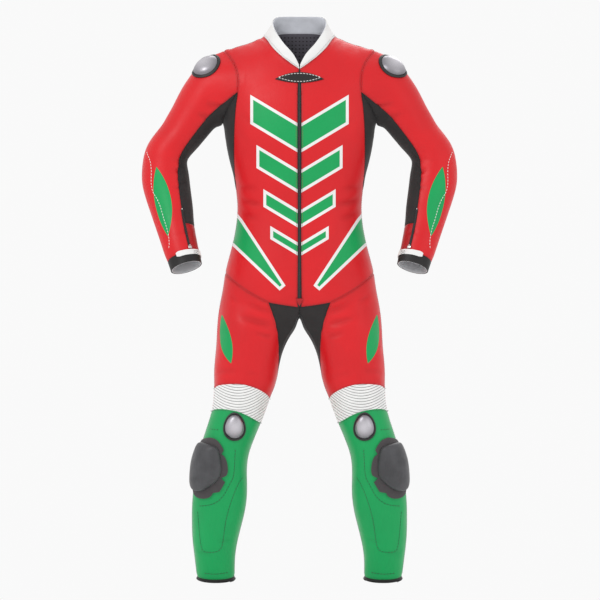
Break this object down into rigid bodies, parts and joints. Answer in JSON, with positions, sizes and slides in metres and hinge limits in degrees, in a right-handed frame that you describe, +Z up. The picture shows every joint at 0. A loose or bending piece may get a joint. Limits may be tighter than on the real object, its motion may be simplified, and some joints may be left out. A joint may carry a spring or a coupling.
{
  "type": "motorcycle race suit",
  "caption": "One-piece leather race suit, filled out as worn: stand-up collar, full front zip, ribbed knee panels, metal shoulder and knee domes, and knee sliders.",
  "frame": {"origin": "between the shoulders at the base of the neck, where the wearer's shoulders carry the suit", "axes": "+Z up, +X towards the wearer's left side, -Y the direction that the wearer faces"},
  "size_m": [0.82, 0.2619, 1.4729],
  "materials": {
    "leather_red": "grained, semi-matte",
    "leather_crimson": "grained, semi-matte",
    "leather_green": "grained, semi-matte",
    "leather_white": "grained, semi-matte",
    "leather_black": "grained, semi-matte",
    "stretch_black": "woven stretch fabric, matte",
    "facing_grey": "brushed knit, matte",
    "mesh_charcoal": "perforated lining, matte",
    "zip_black": "moulded teeth on tape",
    "armour_metal": "brushed, satin",
    "armour_rim": "moulded, satin",
    "slider_plastic": "moulded, lightly scuffed",
    "slider_base": "hook-and-loop backing, matte"
  },
  "bodies": {
    "root": {"back": "leather_red", "main_zip": "zip_black", "collar": "leather_white", "collar_facing": "facing_grey", "neck_lining": "mesh_charcoal", "crotch_gusset": "stretch_black", "throat_patch": "leather_black", "zip_end_tab": "leather_crimson", "front_left": "leather_red", "front_right": "leather_red", "side_panel_left": "stretch_black", "side_panel_right": "stretch_black", "sleeve_left": "leather_red", "sleeve_right": "leather_red", "underarm_left": "stretch_black", "underarm_right": "stretch_black", "cuff_gusset_left": "leather_crimson", "cuff_gusset_right": "leather_crimson", "cuff_band_left": "leather_black", "cuff_band_right": "leather_black", "cuff_lining_left": "facing_grey", "cuff_lining_right": "facing_grey", "thigh_front_left": "leather_red", "thigh_front_right": "leather_red", "thigh_back_left": "leather_red", "thigh_back_right": "leather_red", "shin_front_left": "leather_green", "shin_front_right": "leather_green", "shin_back_left": "leather_green", "shin_back_right": "leather_green", "accordion_left": "leather_white", "accordion_right": "leather_white", "hem_left": "leather_black", "hem_right": "leather_black", "forearm_zip_left": "zip_black", "forearm_zip_right": "zip_black", "forearm_zip_slider_left": "armour_metal", "forearm_zip_slider_right": "armour_metal", "cuff_strap_left": "leather_white", "cuff_strap_right": "leather_white", "shoulder_cup_left": "armour_metal", "shoulder_cup_right": "armour_metal", "shoulder_cup_rim_left": "armour_rim", "shoulder_cup_rim_right": "armour_rim", "knee_dome_left": "armour_metal", "knee_dome_right": "armour_metal", "knee_dome_rim_left": "armour_rim", "knee_dome_rim_right": "armour_rim", "slider_base_left": "slider_base", "slider_base_right": "slider_base", "slider_puck_left": "slider_plastic", "slider_puck_right": "slider_plastic"}
  },
  "joints": []
}
